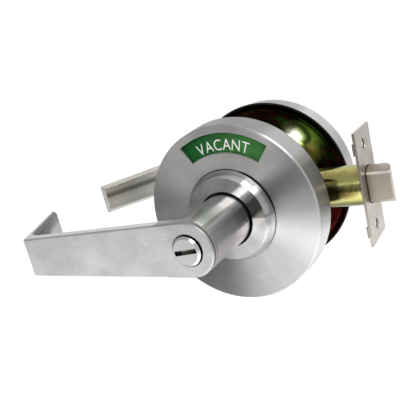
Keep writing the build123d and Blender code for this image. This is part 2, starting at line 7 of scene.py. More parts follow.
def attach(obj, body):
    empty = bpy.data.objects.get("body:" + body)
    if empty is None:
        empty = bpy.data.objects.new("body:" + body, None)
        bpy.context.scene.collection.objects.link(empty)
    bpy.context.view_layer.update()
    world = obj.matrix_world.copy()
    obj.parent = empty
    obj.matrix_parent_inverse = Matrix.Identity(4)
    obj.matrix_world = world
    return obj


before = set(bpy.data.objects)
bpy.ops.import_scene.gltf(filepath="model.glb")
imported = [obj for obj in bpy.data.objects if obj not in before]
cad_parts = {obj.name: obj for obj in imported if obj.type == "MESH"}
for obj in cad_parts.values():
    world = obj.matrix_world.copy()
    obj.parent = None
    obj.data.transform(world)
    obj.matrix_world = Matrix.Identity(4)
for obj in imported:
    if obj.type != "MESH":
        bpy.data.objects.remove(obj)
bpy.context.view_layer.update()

# Privacy lever handle. The lever axis is Y, the outside of the door is -Y, +X is the latch.
MM = 0.001
QUARTER_TURN = 0.25

# Camera, as fitted to the photograph: angles in degrees, lengths in metres, the rest in pixels
PHOTO_SIZE = 416
CAMERA_AZIMUTH = 31.87
CAMERA_ELEVATION = 14.84
CAMERA_ROLL = -14.08
CAMERA_DISTANCE = 0.30824
CAMERA_LEFT = 0.02461
CAMERA_DOWN = 0.0075
FOCAL_LENGTH = 588.03
PRINCIPAL_POINT = (1.65, 1.08)
SENSOR_WIDTH = 36.0
CLIP_START = 0.01


def set_camera():
    """Back points from the object to the camera; its right and up are turned by the roll."""
    azimuth, elevation, roll = (radians(a) for a in (CAMERA_AZIMUTH, CAMERA_ELEVATION, CAMERA_ROLL))
    back = toward(azimuth, elevation)
    level = Vector((cos(azimuth), sin(azimuth), 0))
    upright = back.cross(level)
    right = cos(roll) * level + sin(roll) * upright
    up = cos(roll) * upright - sin(roll) * level
    camera = bpy.data.objects.new("camera", bpy.data.cameras.new("camera"))
    bpy.context.scene.collection.objects.link(camera)
    place = -CAMERA_LEFT * right - CAMERA_DOWN * up + CAMERA_DISTANCE * back
    turn = Matrix((right, up, back)).transposed().to_4x4()
    camera.matrix_world = Matrix.Translation(place) @ turn
    camera.data.sensor_width = SENSOR_WIDTH
    camera.data.lens = FOCAL_LENGTH / PHOTO_SIZE * SENSOR_WIDTH
    camera.data.shift_x = -PRINCIPAL_POINT[0] / PHOTO_SIZE
    camera.data.shift_y = PRINCIPAL_POINT[1] / PHOTO_SIZE
    camera.data.clip_start = CLIP_START
    bpy.context.scene.camera = camera


def toward(azimuth, elevation):
    """The direction at two angles in radians; azimuth 0 is the outside of the door."""
    return Vector((
        sin(azimuth) * cos(elevation), -cos(azimuth) * cos(elevation), sin(elevation)
    ))


class Nodes:
    """Short ways to add nodes to a shader tree. A value is a number or a socket."""

    def __init__(self, tree):
        self.nodes, self.links = tree.nodes, tree.links

    def add(self, kind, **settings):
        node = self.nodes.new(kind)
        for key, value in settings.items():
            setattr(node, key, value)
        return node

    def feed(self, socket, value):
        if isinstance(value, bpy.types.NodeSocket):
            self.links.new(value, socket)
        elif value is not None:
            socket.default_value = value

    def feed_all(self, node, *values):
        for socket, value in zip(node.inputs, values):
            self.feed(socket, value)
        return node.outputs[0]

    def math(self, operation, *values):
        return self.feed_all(self.add("ShaderNodeMath", operation=operation), *values)

    def chain(self, operation, first, *others):
        for other in others:
            first = self.math(operation, first, other)
        return first

    def plus(self, *values):
        return self.chain("ADD", *values)

    def minus(self, first, second):
        return self.math("SUBTRACT", first, second)

    def times(self, *values):
        """The product; of masks, 1 only where each of them is."""
        return self.chain("MULTIPLY", *values)

    def most(self, *values):
        """The largest; of masks, 1 where any of them is."""
        return self.chain("MAXIMUM", *values)

    def mixed(self, *shares):
        """The sum of some values, each times its share."""
        return self.plus(*(self.times(value, share) for value, share in shares))

    def size(self, value):
        return self.math("ABSOLUTE", value)

    def span(self, value, low, high, to_low=0.0, to_high=1.0):
        """The value's place between low and high, spread over another range."""
        node = self.add("ShaderNodeMapRange", interpolation_type="SMOOTHSTEP")
        self.feed_all(node, value, low, high, to_low, to_high)
        return node.outputs["Result"]


class Paint(Nodes):
    """A node material: object coordinates in, one principled shader out."""

    def __init__(self, name):
        self.material = bpy.data.materials.new(name)
        self.material.use_nodes = True
        super().__init__(self.material.node_tree)
        self.shader = self.nodes["Principled BSDF"]

    def position(self):
        """X, Y and Z of the point on the piece, in metres."""
        coordinates = self.add("ShaderNodeTexCoord")
        split = self.add("ShaderNodeSeparateXYZ")
        self.feed(split.inputs[0], coordinates.outputs["Object"])
        return tuple(split.outputs)

    def vector(self, x, y, z):
        return self.feed_all(self.add("ShaderNodeCombineXYZ"), x, y, z)

    def radius(self, x, z):
        return self.math("SQRT", self.plus(self.times(x, x), self.times(z, z)))

    def angle(self, x, z):
        return self.math("ARCTAN2", z, x)

    def noise(self, x, y, z, scale, detail, roughness=0.5):
        """Noise at a place, of a scale in features per metre."""
        node = self.add("ShaderNodeTexNoise")
        self.feed(node.inputs["Vector"], self.vector(x, y, z))
        self.feed(node.inputs["Scale"], scale)
        self.feed(node.inputs["Detail"], detail)
        self.feed(node.inputs["Roughness"], roughness)
        return node.outputs["Fac"]

    # The masks and spans below take their lengths in millimetres

    def above(self, value, low):
        return self.math("GREATER_THAN", value, low * MM)

    def below(self, value, high):
        return self.math("LESS_THAN", value, high * MM)

    def inside(self, value, low, high):
        return self.times(self.above(value, low), self.below(value, high))

    def along(self, value, low, high, to_low=0.0, to_high=1.0):
        return self.span(value, low * MM, high * MM, to_low, to_high)

    def spot(self, x, z, place, whole, gone):
        """1 within a distance of a place, fading to 0."""
        dx, dz = self.minus(x, place[0] * MM), self.minus(z, place[1] * MM)
        return self.along(self.radius(dx, dz), whole, gone, 1.0, 0.0)

    def within(self, x, z, tilt, half_length, half_width):
        """1 inside a rectangle about the lever axis, tilted by some degrees."""
        c, s = cos(radians(tilt)), sin(radians(tilt))
        length = self.plus(self.times(x, c), self.times(z, s))
        width = self.minus(self.times(z, c), self.times(x, s))
        return self.times(
            self.below(self.size(length), half_length), self.below(self.size(width), half_width)
        )

    def facing(self, angle, degrees, low, high, to_low=0.0, to_high=1.0):
        """A span of the cosine of how far the angle is from a direction round the axis."""
        off = self.minus(angle, radians(degrees))
        return self.span(self.math("COSINE", off), low, high, to_low, to_high)

    def ramp(self, factor, *stops):
        node = self.add("ShaderNodeValToRGB")
        elements = node.color_ramp.elements
        while len(elements) < len(stops):
            elements.new(0.5)
        for element, (place, colour) in zip(elements, stops):
            element.position = place
            element.color = (*colour, 1.0)
        self.feed(node.inputs["Fac"], factor)
        return node.outputs["Color"]

    def blend(self, factor, first, second):
        """The first colour where the factor is 0, the second where it is 1."""
        node = self.add("ShaderNodeMix", data_type="RGBA")
        self.feed(node.inputs[0], factor)
        for socket, colour in ((node.inputs[6], first), (node.inputs[7], second)):
            self.feed(socket, (*colour, 1.0) if isinstance(colour, tuple) else colour)
        return node.outputs[2]

    def tint(self, colour, mask, strength, other):
        """Another colour laid over the first where the mask is."""
        return self.blend(self.times(mask, strength), colour, other)

    def worn_edges(self, radius):
        """The surface's direction, over edges that are worn round by a small radius in mm."""
        node = self.add("ShaderNodeBevel", samples=4)
        self.feed(node.inputs["Radius"], radius * MM)
        return node.outputs["Normal"]

    def lean(self, normal, x, y, z):
        """The direction tipped by a vector given along the piece's own axes."""
        turned = self.add(
            "ShaderNodeVectorTransform", vector_type="VECTOR",
            convert_from="OBJECT", convert_to="WORLD",
        )
        self.feed(turned.inputs[0], self.vector(x, y, z))
        total = self.add("ShaderNodeVectorMath", operation="ADD")
        self.feed_all(total, normal, turned.outputs[0])
        return self.feed_all(
            self.add("ShaderNodeVectorMath", operation="NORMALIZE"), total.outputs[0]
        )

    def bump(self, height, distance, strength, normal=None):
        """Relief of a distance in mm."""
        node = self.add("ShaderNodeBump")
        self.feed(node.inputs["Height"], height)
        self.feed(node.inputs["Distance"], distance * MM)
        self.feed(node.inputs["Strength"], strength)
        self.feed(node.inputs["Normal"], normal)
        self.feed(self.shader.inputs["Normal"], node.outputs["Normal"])

    def radial_tangent(self):
        """Brushing that runs round the lever axis."""
        node = self.add("ShaderNodeTangent", direction_type="RADIAL", axis="Y")
        self.feed(self.shader.inputs["Tangent"], node.outputs[0])

    def finish(self, colour, roughness, metallic=1.0, **others):
        self.feed(self.shader.inputs["Base Color"], colour)
        self.feed(self.shader.inputs["Roughness"], roughness)
        self.feed(self.shader.inputs["Metallic"], metallic)
        for name, value in others.items():
            self.feed(self.shader.inputs[name.replace("_", " ")], value)
        return self.material


# Where the finishes of the parts, and the light and shade painted on them, begin and end, in
# millimetres. Depth is the distance from the middle of the door, to either side. An angle in
# degrees is 0 toward the latch and 90 up.

# Lever: the grip lies left of the head, and ends in a bend toward the door
LEVER_FACE_DEPTH = 74.0
GRIP_LENGTH = 95.5
HEAD_LEFT = -14.0
# Painted shade on the rim of the head, and the painted shadow line behind it
HEAD_RIM_DEPTHS = (70.0, 73.93)
SHADOW_LINE_DEPTHS = (72.5, 73.45)
SHADOW_LINE_PLACES = (2, 9)
# The neck, with its painted shade toward the latch and its painted highlight streak
NECK_FRONT_DEPTH = 71.5
NECK_SHADE_PLACES = (1, 11)
NECK_HIGHLIGHT_ANGLE = 58
NECK_HIGHLIGHT_REACH = (5, 12)
# The back of the grip, and how far its surface leans for each metre up from its middle
GRIP_BACK_DEPTHS = (64.0, 68.0)
GRIP_BACK_LEFT = -95.0
GRIP_BACK_ROUNDING = 45.0
# The bend, measured inward from its outer face along that face's normal
BEND_NORMAL = (0.878, 0.478)
BEND_RIGHT = -90.0
BEND_SKIN = 2.75
BEND_INNER_DEPTH = 64.0
# Where the pale painted highlight lies on the outside lever's bend
BEND_PALE_HEIGHTS = (1, 5)
BEND_PALE_DEPTHS = (38, 50)
# Painted shade on its chamfers, which starts further in where the bend is thicker
CHAMFER_DEPTH = 66.0
CHAMFER_HEIGHT = 7.2
CHAMFER_START = 0.45
CHAMFER_SLOPE = 0.0325
# The depth and the height over which its painted reflection bands are spread
BAND_DEPTH = 100.0
BAND_HEIGHT = 20.0


def lever_steel():
    """Satin steel with faint cloudy patches and painted light and shade; the back of the grip is
    shaded as a round one.
    """
    paint = Paint("lever_satin_steel")
    x, y, z = paint.position()
    depth = paint.size(y)
    lines = paint.noise(paint.times(x, 0.08), y, z, 1500, 3, 0.7)
    clouds = paint.noise(paint.times(x, 0.8), y, z, 75, 3, 0.6)
    tone = paint.mixed((lines, 0.32), (clouds, 0.68))
    colour = paint.ramp(
        tone,
        (0.34, (0.63, 0.614, 0.605)),
        (0.50, (0.70, 0.682, 0.674)),
        (0.66, (0.76, 0.742, 0.732)),
    )
    colour = bend_finish(paint, colour, x, y, z)

    # painted shade on the rim of the head, and a painted shadow line behind it that darkens toward
    # the latch
    right = paint.above(x, HEAD_LEFT)
    rim = paint.times(paint.inside(depth, *HEAD_RIM_DEPTHS), right)
    colour = paint.tint(colour, rim, 0.60, (0.30, 0.29, 0.285))
    shadow_line = paint.inside(depth, *SHADOW_LINE_DEPTHS)
    shadow_line = paint.times(shadow_line, paint.along(x, *SHADOW_LINE_PLACES, 0.0, 0.8))
    colour = paint.blend(shadow_line, colour, (0.06, 0.055, 0.05))

    # the neck, with painted shade toward the latch and a painted highlight streak above
    neck = paint.times(paint.below(depth, NECK_FRONT_DEPTH), right)
    shade = paint.times(neck, paint.along(x, *NECK_SHADE_PLACES, 0.0, 0.42))
    colour = paint.blend(shade, colour, (0.22, 0.215, 0.21))
    off = paint.size(paint.minus(paint.angle(x, z), radians(NECK_HIGHLIGHT_ANGLE)))
    highlight_streak = paint.span(off, *map(radians, NECK_HIGHLIGHT_REACH), 0.85, 0.0)
    highlight_streak = paint.times(neck, highlight_streak, paint.below(y, 0))
    colour = paint.blend(highlight_streak, colour, (0.98, 0.97, 0.965))

    back = paint.inside(x, GRIP_BACK_LEFT, HEAD_LEFT)
    back = paint.times(paint.inside(depth, *GRIP_BACK_DEPTHS), back)
    rounding = paint.times(z, GRIP_BACK_ROUNDING, back)
    paint.bump(lines, 0.01, 0.3, paint.lean(paint.worn_edges(0.25), 0.0, 0.0, rounding))
    paint.radial_tangent()
    rough = paint.plus(paint.span(tone, 0.3, 0.7, 0.29, 0.23), paint.times(rim, 0.20))
    rough = paint.minus(rough, paint.times(neck, 0.05))
    return paint.finish(
        colour, rough, Anisotropic=paint.times(neck, 0.85), Anisotropic_Rotation=QUARTER_TURN
    )


def bend_finish(paint, colour, x, y, z):
    """The colour, with painted reflection bands that the inside of the bend would mirror from grip
    and rose, and painted shade on its chamfers.
    """
    depth = paint.size(y)
    bent = paint.below(x, BEND_RIGHT)
    on_inside_lever = paint.above(y, 0)
    # from the bend's outer face inward
    across = paint.plus(
        paint.times(x, BEND_NORMAL[0]),
        paint.times(depth, -BEND_NORMAL[1]),
        (BEND_NORMAL[0] * GRIP_LENGTH + BEND_NORMAL[1] * LEVER_FACE_DEPTH) * MM,
    )
    inner = paint.times(
        paint.above(across, BEND_SKIN), bent, paint.below(depth, BEND_INNER_DEPTH)
    )
    # on the outside lever the painted reflection bands follow the depth, and the lower part has a
    # pale painted highlight
    outside_bands = paint.ramp(
        paint.math("DIVIDE", depth, BAND_DEPTH * MM),
        (0.30, (0.50, 0.49, 0.485)),
        (0.40, (0.32, 0.31, 0.305)),
        (0.50, (0.22, 0.215, 0.21)),
        (0.62, (0.11, 0.105, 0.10)),
    )
    pale_highlight = paint.along(z, *BEND_PALE_HEIGHTS, 1.0, 0.0)
    pale_highlight = paint.times(pale_highlight, paint.along(depth, *BEND_PALE_DEPTHS, 1.0, 0.0))
    outside_bands = paint.blend(pale_highlight, outside_bands, (0.92, 0.91, 0.91))
    # on the inside lever the painted reflection bands follow the height
    inside_bands = paint.ramp(
        paint.plus(paint.math("DIVIDE", z, BAND_HEIGHT * MM), 0.5),
        (0.06, (0.12, 0.12, 0.12)),
        (0.08, (0.80, 0.79, 0.77)),
        (0.22, (0.76, 0.75, 0.73)),
        (0.33, (0.86, 0.84, 0.79)),
        (0.50, (0.74, 0.72, 0.66)),
        (0.57, (0.28, 0.27, 0.245)),
        (0.65, (0.30, 0.29, 0.26)),
        (0.73, (0.74, 0.73, 0.66)),
        (0.90, (0.84, 0.83, 0.77)),
    )
    bands = paint.blend(on_inside_lever, outside_bands, inside_bands)
    colour = paint.blend(inner, colour, bands)
    # painted shade on the inner part of the bend's top and bottom faces: dark on the outside lever,
    # paler on the inside one
    start = paint.plus(across, paint.times(depth, -CHAMFER_SLOPE))
    chamfer_shade = paint.times(
        paint.above(paint.size(z), CHAMFER_HEIGHT),
        paint.above(start, CHAMFER_START),
        bent,
        paint.below(depth, CHAMFER_DEPTH),
    )
    chamfer_shade_tone = paint.blend(on_inside_lever, (0.10, 0.098, 0.095), (0.60, 0.585, 0.52))
    return paint.tint(colour, chamfer_shade, 0.9, chamfer_shade_tone)


# Rose: its hub, the painted shadow line round the hub, the hole of the neck, and its hollow back;
# the hole, the hollow and the rim are painted dark as shade
ROSE_RADIUS = 45.0
FACE_INNER_RADIUS = 23.2
SIDE_RADIUS = 44.0
SIDE_PLACES = (-30.2, -17.6)
RIM_DEPTH = 17.65
HUB_RADIUS = 23.1
HUB_FACE_RADIUS = 20.3
HUB_DEPTHS = (31.8, 36.6)
# The painted shadow line round the foot of the hub: its radius, and its half widths away from and
# toward the upper right, in metres
HUB_SHADOW_RADIUS = 23.05
HUB_SHADOW_HALF_WIDTHS = (0.2 * MM, 0.45 * MM)
NECK_HOLE_RADIUS = 13.8
HOLLOW_DEPTH, HOLLOW_RADIUS = 28.6, 44.3
INSIDE_HOLLOW_DEPTH, INSIDE_HOLLOW_RADIUS = 29.6, 43.6
HOLLOW_LOW_HEIGHTS = (-14, -8)
HOLLOW_LOW_RADIUS = 40.0
# How far the surface leans outward at the rose's rim, and off the door on the hub's shoulder
ROSE_DOME = 0.02
HUB_CROWN = 0.25
# Light and shade round the lever axis: a direction in degrees, and the cosines of the angles
# from it at which they begin and are whole
ROSE_SHADE = (208, 0.25, 0.92)
ROSE_BRIGHT = (-12, 0.86, 1.0)
ABOVE_HUB_BRIGHT = (88, 0.80, 1.0)
ABOVE_HUB_RADII = (27, 34)
HUB_SHADE = (118, 0.30, 0.92)
HUB_WEDGE = (14, 0.955, 0.972)
HUB_WEDGE_RADII = (20.2, 20.6)
SIDE_DARK = (14, 0.90, 0.985)
SIDE_SHADE = (45, 0.45, 0.95)
HUB_SHADOW_WIDE = (35, 0.80, 0.97)
HUB_SHADOW_DARK = (42, -0.1, 0.6)


def rose_steel():
    """Satin steel, turned, so that the brushing runs in circles; painted shade inside and in its
    gaps, and painted light and shade round the face.
    """
    paint = Paint("rose_satin_steel")
    x, y, z = paint.position()
    radius, angle, depth = paint.radius(x, z), paint.angle(x, z), paint.size(y)
    rings = paint.noise(radius, paint.times(angle, 0.0006), y, 2600, 3, 0.7)
    clouds = paint.noise(x, y, z, 60, 2)
    cosine, sine = paint.math("DIVIDE", x, radius), paint.math("DIVIDE", z, radius)
    spokes = paint.noise(cosine, 0.0, sine, 3.5, 2)
    tone = paint.mixed((rings, 0.32), (clouds, 0.34), (spokes, 0.34))
    hub = paint.below(radius, HUB_RADIUS)
    face = rose_face(paint, tone, y, radius, angle, hub)
    # painted shade in the hollows, the hole of the neck, the shadow line round the hub and on the
    # rim
    dark, painted_shade_tone = rose_painted_shade(paint, y, z, radius, angle)
    colour = paint.blend(dark, face, painted_shade_tone)

    dome = paint.times(paint.above(radius, FACE_INNER_RADIUS), ROSE_DOME / ROSE_RADIUS / MM)
    crown = paint.times(
        paint.along(depth, *HUB_DEPTHS),
        paint.inside(radius, HUB_FACE_RADIUS, HUB_RADIUS),
        paint.math("SIGN", y),
        HUB_CROWN,
    )
    lean = (paint.times(x, dome), crown, paint.times(z, dome))
    paint.bump(rings, 0.012, 0.35, paint.lean(paint.worn_edges(0.2), *lean))
    paint.radial_tangent()
    rough = paint.minus(paint.span(tone, 0.3, 0.7, 0.40, 0.35), paint.times(hub, 0.21))
    return paint.finish(
        colour, paint.most(rough, dark), metallic=paint.minus(1.0, dark),
        Anisotropic=0.95, Anisotropic_Rotation=QUARTER_TURN, Specular_IOR_Level=0.1,
    )


def rose_face(paint, tone, y, radius, angle, hub):
    """The colour of the face, the hub and the side, with painted light and shade round them."""
    face = paint.ramp(
        tone, (0.36, (0.51, 0.50, 0.495)), (0.50, (0.59, 0.58, 0.577)), (0.64, (0.67, 0.66, 0.66))
    )
    # painted shade to the lower left, and painted highlights toward the right and above the hub
    face = paint.tint(face, paint.facing(angle, *ROSE_SHADE), 0.72, (0.15, 0.15, 0.15))
    above_hub = paint.facing(angle, *ABOVE_HUB_BRIGHT)
    above_hub = paint.times(above_hub, paint.along(radius, *ABOVE_HUB_RADII, 1.3, 0.0))
    bright = paint.most(paint.facing(angle, *ROSE_BRIGHT), above_hub)
    face = paint.tint(face, bright, 0.55, (0.92, 0.91, 0.905))

    # painted shade on the hub toward the upper left, and a painted dark reflection in a wedge
    # toward the right
    hub_shade = paint.times(paint.facing(angle, *HUB_SHADE, 0.0, 0.42), hub)
    face = paint.blend(hub_shade, face, (0.12, 0.12, 0.11))
    wedge = paint.times(
        paint.facing(angle, *HUB_WEDGE, 0.0, 0.50),
        hub,
        paint.along(radius, *HUB_WEDGE_RADII, 1.5, 1.0),
    )
    face = paint.blend(wedge, face, (0.11, 0.108, 0.09))

    # painted shade on the side, toward the right and the upper right
    side = paint.times(paint.inside(y, *SIDE_PLACES), paint.above(radius, SIDE_RADIUS))
    shade = paint.most(
        paint.facing(angle, *SIDE_DARK, 0.0, 0.62), paint.facing(angle, *SIDE_SHADE, 0.0, 0.30)
    )
    return paint.blend(paint.times(shade, side), face, (0.10, 0.095, 0.07))


def rose_painted_shade(paint, y, z, radius, angle):
    """A mask of painted shade in the hollows, the hole, the shadow line round the hub and on the
    rim, and its colour: black, with a maroon painted reflection low on the hollows' outer wall.
    """
    depth = paint.size(y)
    hollow = paint.most(
        paint.times(paint.inside(depth, 0, HOLLOW_DEPTH), paint.below(radius, HOLLOW_RADIUS)),
        paint.times(
            paint.inside(y, 0, INSIDE_HOLLOW_DEPTH), paint.below(radius, INSIDE_HOLLOW_RADIUS)
        ),
    )
    hole = paint.below(radius, NECK_HOLE_RADIUS)
    # a painted shadow line round the foot of the hub, wider and darker toward the upper right
    half_width = paint.facing(angle, *HUB_SHADOW_WIDE, *HUB_SHADOW_HALF_WIDTHS)
    off_hub_shadow_line = paint.size(paint.minus(radius, HUB_SHADOW_RADIUS * MM))
    hub_shadow_line = paint.times(
        paint.math("LESS_THAN", off_hub_shadow_line, half_width),
        paint.facing(angle, *HUB_SHADOW_DARK, 0.25, 1.0),
    )
    rim = paint.below(depth, RIM_DEPTH)
    low = paint.along(z, *HOLLOW_LOW_HEIGHTS, 1.0, 0.0)
    low = paint.times(low, paint.above(radius, HOLLOW_LOW_RADIUS))
    # black painted shade, a maroon painted reflection low down, and the rim's end face painted dark
    # as shade
    tone = paint.blend(low, (0.012, 0.010, 0.008), (0.10, 0.012, 0.010))
    tone = paint.blend(rim, tone, (0.03, 0.025, 0.02))
    return paint.most(hollow, hole, hub_shadow_line, rim), tone


# Coin turn: its slot, tilted as in the part; the slot and the sides are painted dark as shade,
# with a painted gleam of light on the slot's floor
TURN_RADIUS = 6.85
SLOT_TILT = 5.5
SLOT_HALF_LENGTH, SLOT_HALF_WIDTH = 5.5, 1.15
SLOT_PLACES = (-75.45, -72.0)
SLOT_FLOOR_PLACES = (-73.8, -73.3)
SLOT_GLEAM_PLACES = (-5.2, 5.0)


def turn_steel():
    """Finer satin steel of the coin turn and the turn button; the slot and the sides are painted
    dark as shade, with a painted gleam of light on the slot's floor.
    """
    paint = Paint("turn_satin_steel")
    x, y, z = paint.position()
    grain = paint.noise(x, paint.times(y, 0.1), z, 2500, 3, 0.7)
    face = paint.ramp(grain, (0.35, (0.60, 0.595, 0.59)), (0.65, (0.73, 0.72, 0.715)))
    slot = paint.times(
        paint.inside(y, *SLOT_PLACES),
        paint.within(x, z, SLOT_TILT, SLOT_HALF_LENGTH, SLOT_HALF_WIDTH),
    )
    # the slot and the sides are painted dark as shade
    side = paint.above(paint.radius(x, z), TURN_RADIUS)
    # a painted gleam of light on the floor of the slot, brightest at its left end
    gleam = paint.along(x, *SLOT_GLEAM_PLACES, 0.9, 0.1)
    gleam = paint.times(gleam, paint.along(y, *SLOT_FLOOR_PLACES), slot)
    painted_shade_tone = paint.blend(gleam, (0.02, 0.018, 0.015), (0.42, 0.42, 0.38))
    colour = paint.blend(paint.most(slot, side), face, painted_shade_tone)
    paint.bump(grain, 0.012, 0.3)
    return paint.finish(colour, paint.span(grain, 0.3, 0.7, 0.26, 0.20))


# Painted sheen on the dark plating, partly its iridescent tints and partly painted highlights and
# reflections, the last patch a pale painted highlight: the middle of each patch, the distances at
# which it is whole and gone, its strength and its colour. The surface leans a little at the patch
# called halo.
HALO = ((19.5, 23.5), 1.5, 10.5)
HALO_LEAN = 0.70
PAINTED_SHEEN = (
    (((22.5, 20.0), 6, 15), 0.90, (0.15, 0.27, 0.04)),
    (((24.5, 15.0), 0, 9), 0.85, (0.55, 0.42, 0.14)),
    (HALO, 0.75, (0.42, 0.62, 0.18)),
    (((18.0, 25.0), 0.5, 7.5), 1.0, (0.97, 1.0, 0.80)),
)
SHEEN_WOBBLE = 4.0
# Heights over which the maroon painted reflection gives way to the patches above
MAROON_HEIGHTS = (-10, 2)


def plating_and_painted_sheen():
    """Near black plating with iridescent tints and a painted sheen: green and gold patches above,
    partly painted reflection, a pale painted highlight, and maroon below as a painted reflection.
    """
    paint = Paint("dark_iridescent_plating_and_painted_sheen")
    x, y, z = paint.position()
    turn = paint.times(paint.angle(x, z), 0.012)
    streaks = paint.noise(paint.radius(x, z), y, turn, 260, 2)
    drift = paint.noise(x, y, z, 150, 2)
    colour = paint.ramp(
        streaks,
        (0.30, (0.012, 0.05, 0.012)),
        (0.44, (0.015, 0.012, 0.008)),
        (0.54, (0.06, 0.008, 0.008)),
        (0.66, (0.02, 0.09, 0.02)),
    )
    wobble = paint.times(paint.minus(drift, 0.5), SHEEN_WOBBLE * MM)
    shifted = paint.plus(x, wobble), paint.minus(z, wobble)
    # the painted sheen patches, the last one a pale painted highlight
    for patch, strength, tone in PAINTED_SHEEN:
        colour = paint.tint(colour, paint.spot(*shifted, *patch), strength, tone)
    # maroon below, a painted reflection
    colour = paint.blend(paint.along(z, *MAROON_HEIGHTS), (0.12, 0.014, 0.012), colour)
    lean = paint.times(paint.spot(*shifted, *HALO), HALO_LEAN)
    paint.bump(drift, 0.01, 0.2, paint.lean(paint.worn_edges(0.2), lean, 0.0, lean))
    return paint.finish(colour, paint.span(drift, 0.3, 0.7, 0.26, 0.34))


# Latch tube: the painted dark reflection is drawn out along the tube and drawn in across it
DARK_REFLECTION_ALONG, DARK_REFLECTION_ACROSS = 0.62, 2.4
DARK_REFLECTION = ((27.5, -2.5), 3.5, 10.5)
DARK_REFLECTION_WOBBLE = 6.0
# Where the painted shade lies at the tube's end by the faceplate, and below the tube
TUBE_END_PLACES = (57.2, 58.3)
TUBE_UNDER_HEIGHTS = (-7.5, -2.5)


def gold_plating():
    """Yellow passivated tube, greener in patches, with painted shade below and at its end by the
    faceplate, and a brown painted dark reflection.
    """
    paint = Paint("gold_plating")
    x, y, z = paint.position()
    drift = paint.noise(x, y, z, 90, 3, 0.6)
    fine = paint.noise(x, y, paint.times(z, 0.4), 420, 3, 0.6)
    colour = paint.ramp(
        drift,
        (0.30, (0.36, 0.30, 0.09)),
        (0.46, (0.56, 0.50, 0.18)),
        (0.56, (0.48, 0.52, 0.21)),
        (0.72, (0.64, 0.57, 0.26)),
    )
    wobble = paint.times(paint.minus(fine, 0.5), DARK_REFLECTION_WOBBLE * MM)
    along = paint.plus(paint.times(x, DARK_REFLECTION_ALONG), wobble)
    across = paint.plus(paint.times(z, DARK_REFLECTION_ACROSS), wobble)
    # a brown painted dark reflection on the outside half of the tube
    dark_reflection = paint.times(paint.spot(along, across, *DARK_REFLECTION), paint.below(y, 0))
    colour = paint.tint(colour, dark_reflection, 0.9, (0.07, 0.04, 0.012))
    # painted shade below the tube, and at its end by the faceplate
    shade_below = paint.along(z, *TUBE_UNDER_HEIGHTS, 0.90, 0.0)
    colour = paint.blend(shade_below, colour, (0.13, 0.13, 0.04))
    colour = paint.blend(paint.along(x, *TUBE_END_PLACES), colour, (0.10, 0.045, 0.012))
    return paint.finish(colour, paint.span(drift, 0.3, 0.7, 0.14, 0.24))


# Faceplate and latchbolt
FACEPLATE_BACK = 58.9
SCREW_HEIGHT = 19.8
SCREW_HOLE_RADIUS = 2.55
BOLT_MIDDLE = 4.0
# Painted shade near the bolt on the faceplate; on the bolt a painted highlight along its edge, and
# painted shade on its top and at the faceplate
BOLT_SHADE_REACH = (6, 14)
BOLT_HIGHLIGHT_HEIGHTS = (5.9, 7.0)
BOLT_TOP_HEIGHTS = (7.0, 9.5)
BOLT_HIGHLIGHT_FRONT = -5.0
BOLT_GAP_PLACES = (60.1, 60.9)


def faceplate_steel():
    """Satin sheet, brushed along its height, with painted shade in the countersinks, on its edges
    and near the bolt.
    """
    paint = Paint("faceplate_steel")
    x, y, z = paint.position()
    lines = paint.noise(x, y, paint.times(z, 0.06), 2200, 3, 0.7)
    clouds = paint.noise(x, y, z, 110, 3, 0.6)
    tone = paint.mixed((lines, 0.3), (clouds, 0.7))
    colour = paint.ramp(
        tone, (0.34, (0.46, 0.41, 0.36)), (0.5, (0.54, 0.49, 0.44)), (0.66, (0.61, 0.57, 0.53))
    )
    # painted shade near the bolt
    off_bolt = paint.size(paint.minus(z, BOLT_MIDDLE * MM))
    shade_near_bolt = paint.along(off_bolt, *BOLT_SHADE_REACH, 0.38, 0.0)
    colour = paint.blend(shade_near_bolt, colour, (0.22, 0.18, 0.14))
    # painted shade in the screw holes, and on the sheet's edges and back
    off_screw = paint.minus(paint.size(z), SCREW_HEIGHT * MM)
    behind = paint.below(x, FACEPLATE_BACK)
    hole = paint.times(
        paint.below(paint.radius(y, off_screw), SCREW_HOLE_RADIUS), paint.minus(1.0, behind)
    )
    colour = paint.blend(hole, colour, (0.04, 0.03, 0.025))
    colour = paint.tint(colour, behind, 0.5, (0.12, 0.10, 0.08))
    paint.bump(lines, 0.012, 0.3, paint.worn_edges(0.2))
    return paint.finish(colour, paint.span(tone, 0.3, 0.7, 0.34, 0.26))


def latchbolt_metal():
    """Satin latchbolt, brushed along the throw, with a painted highlight on its edge, painted shade
    on its top and painted shade at the faceplate.
    """
    paint = Paint("latchbolt_metal")
    x, y, z = paint.position()
    lines = paint.noise(x, y, paint.times(z, 0.05), 2400, 3, 0.7)
    clouds = paint.noise(x, y, z, 120, 2)
    tone = paint.mixed((lines, 0.5), (clouds, 0.5))
    colour = paint.ramp(
        tone,
        (0.34, (0.54, 0.455, 0.385)),
        (0.5, (0.60, 0.515, 0.44)),
        (0.66, (0.66, 0.58, 0.505)),
    )
    # a painted highlight along the edge of the front face, painted shade on the top, and painted
    # shade at the faceplate
    edge = paint.times(paint.inside(z, *BOLT_HIGHLIGHT_HEIGHTS), paint.below(y, BOLT_HIGHLIGHT_FRONT))
    colour = paint.blend(edge, colour, (0.98, 0.95, 0.86))
    colour = paint.tint(colour, paint.inside(z, *BOLT_TOP_HEIGHTS), 0.35, (0.25, 0.23, 0.20))
    gap = paint.along(x, *BOLT_GAP_PLACES, 1.0, 0.0)
    colour = paint.tint(colour, gap, 0.85, (0.03, 0.02, 0.015))
    paint.bump(lines, 0.01, 0.3, paint.worn_edges(0.12))
    return paint.finish(colour, paint.span(tone, 0.3, 0.7, 0.36, 0.28))


